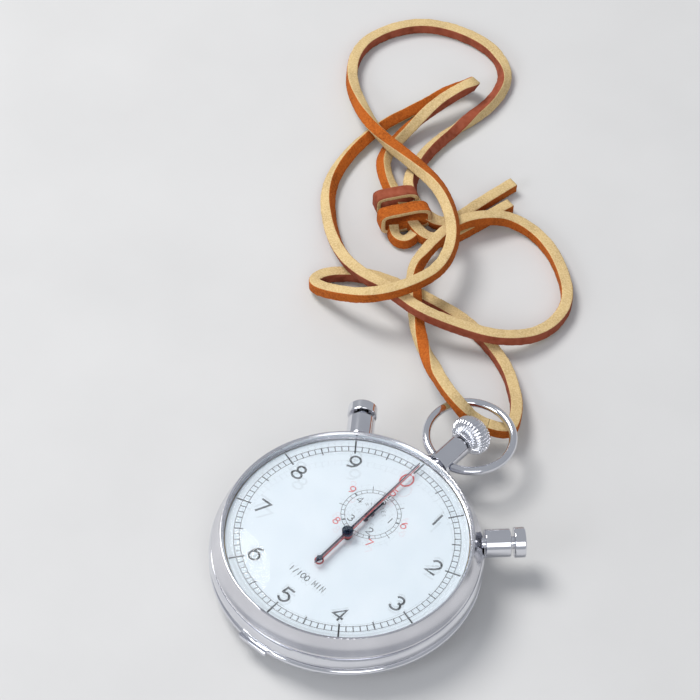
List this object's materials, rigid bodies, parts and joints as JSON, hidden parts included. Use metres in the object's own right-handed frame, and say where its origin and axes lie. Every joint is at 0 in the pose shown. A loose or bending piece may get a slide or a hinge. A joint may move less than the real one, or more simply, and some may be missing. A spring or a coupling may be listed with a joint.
{
  "type": "mechanical split-seconds stopwatch with a leather lace",
  "caption": "Open-face mechanical stopwatch with a split hand, a small minute recorder, a crown, two side pushers and a knotted leather lace through its bow.",
  "frame": {"origin": "centre of the flat on the back cover, on the surface the watch lies on", "axes": "+Z out of the dial, +Y along the winding stem towards the crown, +X to the right of the dial"},
  "size_m": [0.127, 0.1668, 0.017],
  "materials": {
    "case_metal": "polished",
    "bezel_metal": "satin",
    "crystal": "polished",
    "dial_enamel": "satin",
    "blued_steel": "satin",
    "red_paint": "satin",
    "plate_metal": "satin",
    "steel": "polished",
    "spring_steel": "satin",
    "brass": "satin",
    "ruby": "polished",
    "lace_leather": "rough"
  },
  "bodies": {
    "case": {"case_band": "case_metal", "bezel": "bezel_metal", "crystal": "crystal", "back_cover": "case_metal", "pendant": "case_metal", "pusher_tube_left": "case_metal", "pusher_tube_right": "case_metal", "pusher_spring_left": "spring_steel", "pusher_spring_right": "spring_steel", "crown_spring": "spring_steel", "dial": "dial_enamel", "main_plate": "plate_metal", "movement_ring": "brass", "barrel_bridge": "plate_metal", "train_bridge": "plate_metal", "balance_cock": "plate_metal", "pallet_cock": "plate_metal", "jewels": "ruby", "chrono_cock": "plate_metal", "click": "steel", "click_spring": "spring_steel", "bridge_screws": "blued_steel", "case_screws": "steel", "lace_left": "lace_leather", "lace_right": "lace_leather", "lace_knot": "lace_leather"},
    "bow": {"bow": "case_metal"},
    "left_pusher": {"pusher_left": "case_metal"},
    "right_pusher": {"pusher_right": "case_metal"},
    "sleeve": {"pendant_sleeve": "steel"},
    "winder": {"crown": "case_metal", "stem": "steel"},
    "winding_gear": {"winding_pinion": "steel"},
    "crown_gear": {"crown_wheel": "steel"},
    "ratchet": {"ratchet_wheel": "steel", "barrel_arbor": "steel"},
    "drum": {"barrel": "brass", "barrel_cover": "brass", "mainspring": "spring_steel"},
    "third": {"third_wheel": "brass"},
    "centre": {"centre_wheel": "brass"},
    "escape": {"escape_wheel": "steel"},
    "pallets": {"pallet_fork": "steel"},
    "oscillator": {"balance": "brass", "hairspring": "spring_steel"},
    "sweep": {"sweep_wheel": "brass", "sweep_hand": "red_paint"},
    "split": {"split_wheel": "brass", "split_hand": "blued_steel"},
    "recorder": {"recorder_wheel": "brass", "recorder_hand": "blued_steel"},
    "idler": {"recorder_idler": "brass"},
    "column": {"column_wheel": "steel"},
    "operator": {"operating_lever": "steel"},
    "hammer": {"reset_hammer": "steel"},
    "splitter": {"split_lever": "steel"},
    "time_out": {"time_out_lever": "steel"},
    "jaw_left": {"split_jaw_left": "steel"},
    "jaw_right": {"split_jaw_right": "steel"}
  },
  "joints": [
    {"name": "bow_turn", "type": "hinge", "parent": "case", "child": "bow", "pos_m": [0, 0.0301, 0.0078], "axis": [1, 0, 0], "range_deg": [-88, 88], "deforming": ["lace_left", "lace_right"]},
    {"name": "left_push", "type": "slide", "parent": "case", "child": "left_pusher", "axis": [0.5878, -0.809, 0], "range_m": [0, 0.0009], "stiffness_N_per_m": 900, "springref_m": -0.0012, "deforming": ["pusher_spring_left"]},
    {"name": "right_push", "type": "slide", "parent": "case", "child": "right_pusher", "axis": [-0.7071, -0.7071, 0], "range_m": [0, 0.0006], "stiffness_N_per_m": 900, "springref_m": -0.0012, "deforming": ["pusher_spring_right"]},
    {"name": "crown_press", "type": "slide", "parent": "case", "child": "sleeve", "axis": [0, -1, 0], "range_m": [0, 0.0008], "stiffness_N_per_m": 1500, "springref_m": -0.0012, "deforming": ["crown_spring"]},
    {"name": "crown_wind", "type": "hinge", "parent": "sleeve", "child": "winder", "pos_m": [0, 0.0344, 0.0078], "axis": [0, 1, 0], "continuous": true},
    {"name": "pinion_turn", "type": "hinge", "parent": "case", "child": "winding_gear", "pos_m": [0, 0.0196, 0.0078], "axis": [0, 1, 0], "continuous": true},
    {"name": "crown_wheel_turn", "type": "hinge", "parent": "case", "child": "crown_gear", "pos_m": [0, 0.0171, 0.005], "axis": [0, 0, 1], "continuous": true},
    {"name": "ratchet_turn", "type": "hinge", "parent": "case", "child": "ratchet", "pos_m": [-0.008, 0.0125, 0.005], "axis": [0, 0, 1], "continuous": true},
    {"name": "sweep_turn", "type": "hinge", "parent": "case", "child": "sweep", "pos_m": [0, 0, 0.006], "axis": [0, 0, -1], "continuous": true},
    {"name": "split_turn", "type": "hinge", "parent": "case", "child": "split", "pos_m": [0, 0, 0.006], "axis": [0, 0, -1], "continuous": true},
    {"name": "recorder_turn", "type": "hinge", "parent": "case", "child": "recorder", "pos_m": [0, 0.0074, 0.006], "axis": [0, 0, -1], "continuous": true},
    {"name": "idler_turn", "type": "hinge", "parent": "case", "child": "idler", "pos_m": [0, 0.00225, 0.0041], "axis": [0, 0, -1], "continuous": true},
    {"name": "centre_turn", "type": "hinge", "parent": "case", "child": "centre", "pos_m": [0, 0, 0.0075], "axis": [0, 0, -1], "continuous": true},
    {"name": "third_turn", "type": "hinge", "parent": "case", "child": "third", "pos_m": [-0.00498, 0.00433, 0.008], "axis": [0, 0, -1], "continuous": true},
    {"name": "drum_turn", "type": "hinge", "parent": "case", "child": "drum", "pos_m": [-0.008, 0.0125, 0.0075], "axis": [0, 0, -1], "continuous": true},
    {"name": "escape_turn", "type": "hinge", "parent": "case", "child": "escape", "pos_m": [0.0036, -0.00429, 0.0085], "axis": [0, 0, -1], "continuous": true},
    {"name": "pallet_rock", "type": "hinge", "parent": "case", "child": "pallets", "pos_m": [0.00591, -0.00705, 0.0085], "axis": [0, 0, 1], "range_deg": [-4, 4]},
    {"name": "balance_swing", "type": "hinge", "parent": "case", "child": "oscillator", "pos_m": [0.00861, -0.01026, 0.007], "axis": [0, 0, 1], "range_deg": [-270, 270]},
    {"name": "column_turn", "type": "hinge", "parent": "case", "child": "column", "pos_m": [0.01, 0.008, 0.0046], "axis": [0, 0, 1], "continuous": true},
    {"name": "operate", "type": "hinge", "parent": "case", "child": "operator", "pos_m": [0.0063, 0.0163, 0.0032], "axis": [0, 0, 1], "range_deg": [-1.5, 6]},
    {"name": "reset", "type": "hinge", "parent": "case", "child": "hammer", "pos_m": [-0.012, -0.003, 0.0046], "axis": [0, 0, 1], "range_deg": [-6, 1.5]},
    {"name": "split_stop", "type": "hinge", "parent": "case", "child": "splitter", "pos_m": [-0.0165, 0.003, 0.0032], "axis": [0, 0, 1], "range_deg": [-4, 1]},
    {"name": "time_out_stop", "type": "hinge", "parent": "case", "child": "time_out", "pos_m": [0.014, -0.001, 0.0032], "axis": [0, 0, 1], "range_deg": [-1, 4]},
    {"name": "jaw_close_left", "type": "hinge", "parent": "case", "child": "jaw_left", "pos_m": [-0.0022, -0.0098, 0.0028], "axis": [0, 0, 1], "range_deg": [-2, 1]},
    {"name": "jaw_close_right", "type": "hinge", "parent": "case", "child": "jaw_right", "pos_m": [0.0022, -0.0098, 0.0028], "axis": [0, 0, 1], "range_deg": [-1, 2]}
  ],
  "couplings": [
    {"joint": "pinion_turn", "follows": "crown_wind", "ratio": 1},
    {"joint": "crown_wheel_turn", "follows": "crown_wind", "ratio": -0.5},
    {"joint": "ratchet_turn", "follows": "crown_wind", "ratio": 0.22222},
    {"joint": "recorder_turn", "follows": "sweep_turn", "ratio": 0.2},
    {"joint": "idler_turn", "follows": "sweep_turn", "ratio": -0.83333},
    {"joint": "centre_turn", "follows": "sweep_turn", "ratio": 1},
    {"joint": "third_turn", "follows": "sweep_turn", "ratio": -0.13333},
    {"joint": "drum_turn", "follows": "sweep_turn", "ratio": 0.02},
    {"joint": "escape_turn", "follows": "sweep_turn", "ratio": -10},
    {"joint": "operate", "follows": "crown_press", "rad_per_m": 100},
    {"joint": "split_stop", "follows": "left_push", "rad_per_m": -60},
    {"joint": "time_out_stop", "follows": "right_push", "rad_per_m": 80},
    {"joint": "jaw_close_right", "follows": "jaw_close_left", "ratio": -1}
  ]
}
